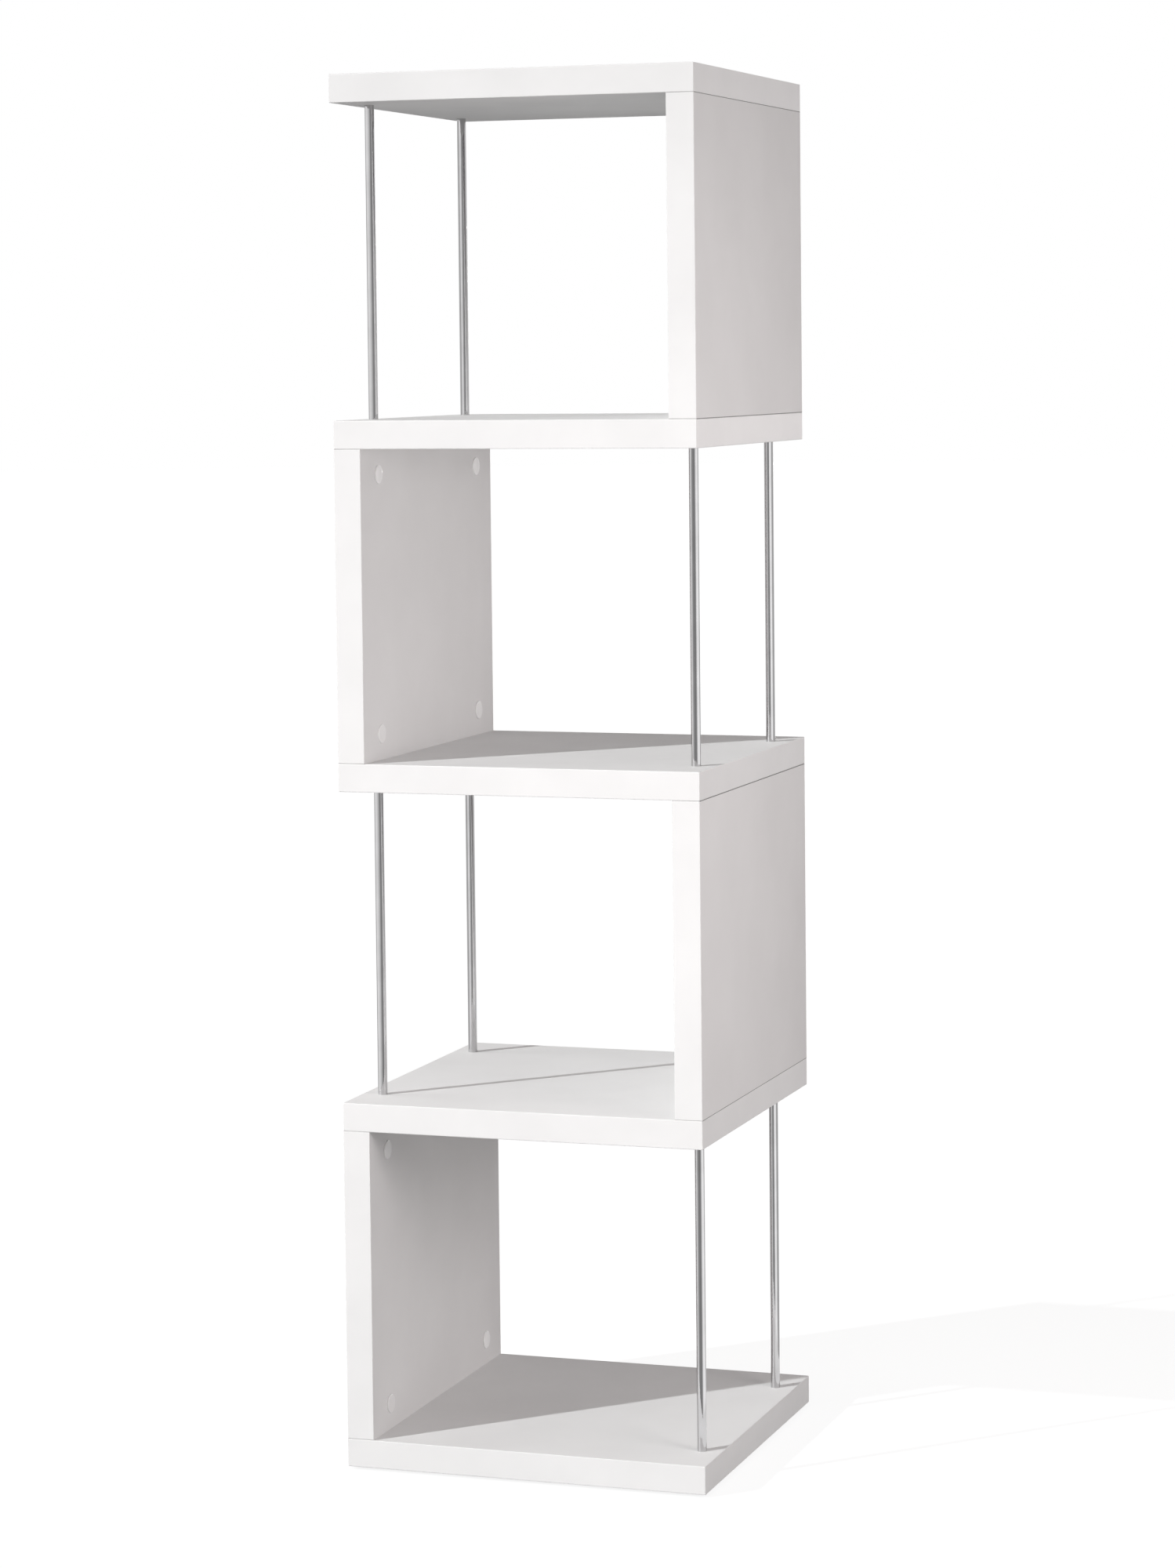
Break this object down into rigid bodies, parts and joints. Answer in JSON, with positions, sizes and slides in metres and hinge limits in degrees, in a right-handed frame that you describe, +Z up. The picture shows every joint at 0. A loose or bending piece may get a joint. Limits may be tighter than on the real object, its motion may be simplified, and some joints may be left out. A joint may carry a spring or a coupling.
{
  "type": "shelving unit",
  "caption": "Square tower shelf of thick white boards, with solid side panels that alternate from side to side and slim chrome tubes opposite them.",
  "frame": {"origin": "middle of the floor area under the unit, on the plane of the glides' soles", "axes": "+X to the right seen from the front, +Y to the back, +Z up"},
  "size_m": [0.4, 0.4, 1.483],
  "materials": {
    "white_board": "chipboard with a smooth satin white foil",
    "white_edging": "satin white edging strip",
    "white_cap": "satin white moulded plastic",
    "chrome_tube": "bright chrome plate on drawn steel tube",
    "zinc": "plain die-cast zinc",
    "steel": "bright zinc-plated steel",
    "brass": "plain turned brass",
    "beech": "bare turned beech",
    "grey_plastic": "plain moulded plastic"
  },
  "bodies": {
    "root": {"base_shelf": "white_board", "base_shelf_edging": "white_edging", "bottom_back_tube": "chrome_tube", "bottom_cam_bolts": "steel", "bottom_cams": "zinc", "bottom_cover_caps": "white_cap", "bottom_dowels": "beech", "bottom_front_tube": "chrome_tube", "bottom_panel_edging": "white_edging", "bottom_side_panel": "white_board", "bottom_tube_inserts": "brass", "bottom_tube_plugs": "grey_plastic", "bottom_tube_studs": "steel", "floor_glides": "grey_plastic", "lower_back_tube": "chrome_tube", "lower_cam_bolts": "steel", "lower_cams": "zinc", "lower_cover_caps": "white_cap", "lower_dowels": "beech", "lower_front_tube": "chrome_tube", "lower_panel_edging": "white_edging", "lower_shelf": "white_board", "lower_shelf_edging": "white_edging", "lower_side_panel": "white_board", "lower_tube_inserts": "brass", "lower_tube_plugs": "grey_plastic", "lower_tube_studs": "steel", "middle_shelf": "white_board", "middle_shelf_edging": "white_edging", "top_back_tube": "chrome_tube", "top_cam_bolts": "steel", "top_cams": "zinc", "top_cover_caps": "white_cap", "top_dowels": "beech", "top_front_tube": "chrome_tube", "top_panel_edging": "white_edging", "top_shelf": "white_board", "top_shelf_edging": "white_edging", "top_side_panel": "white_board", "top_tube_inserts": "brass", "top_tube_plugs": "grey_plastic", "top_tube_studs": "steel", "upper_back_tube": "chrome_tube", "upper_cam_bolts": "steel", "upper_cams": "zinc", "upper_cover_caps": "white_cap", "upper_dowels": "beech", "upper_front_tube": "chrome_tube", "upper_panel_edging": "white_edging", "upper_shelf": "white_board", "upper_shelf_edging": "white_edging", "upper_side_panel": "white_board", "upper_tube_inserts": "brass", "upper_tube_plugs": "grey_plastic", "upper_tube_studs": "steel"}
  },
  "joints": []
}
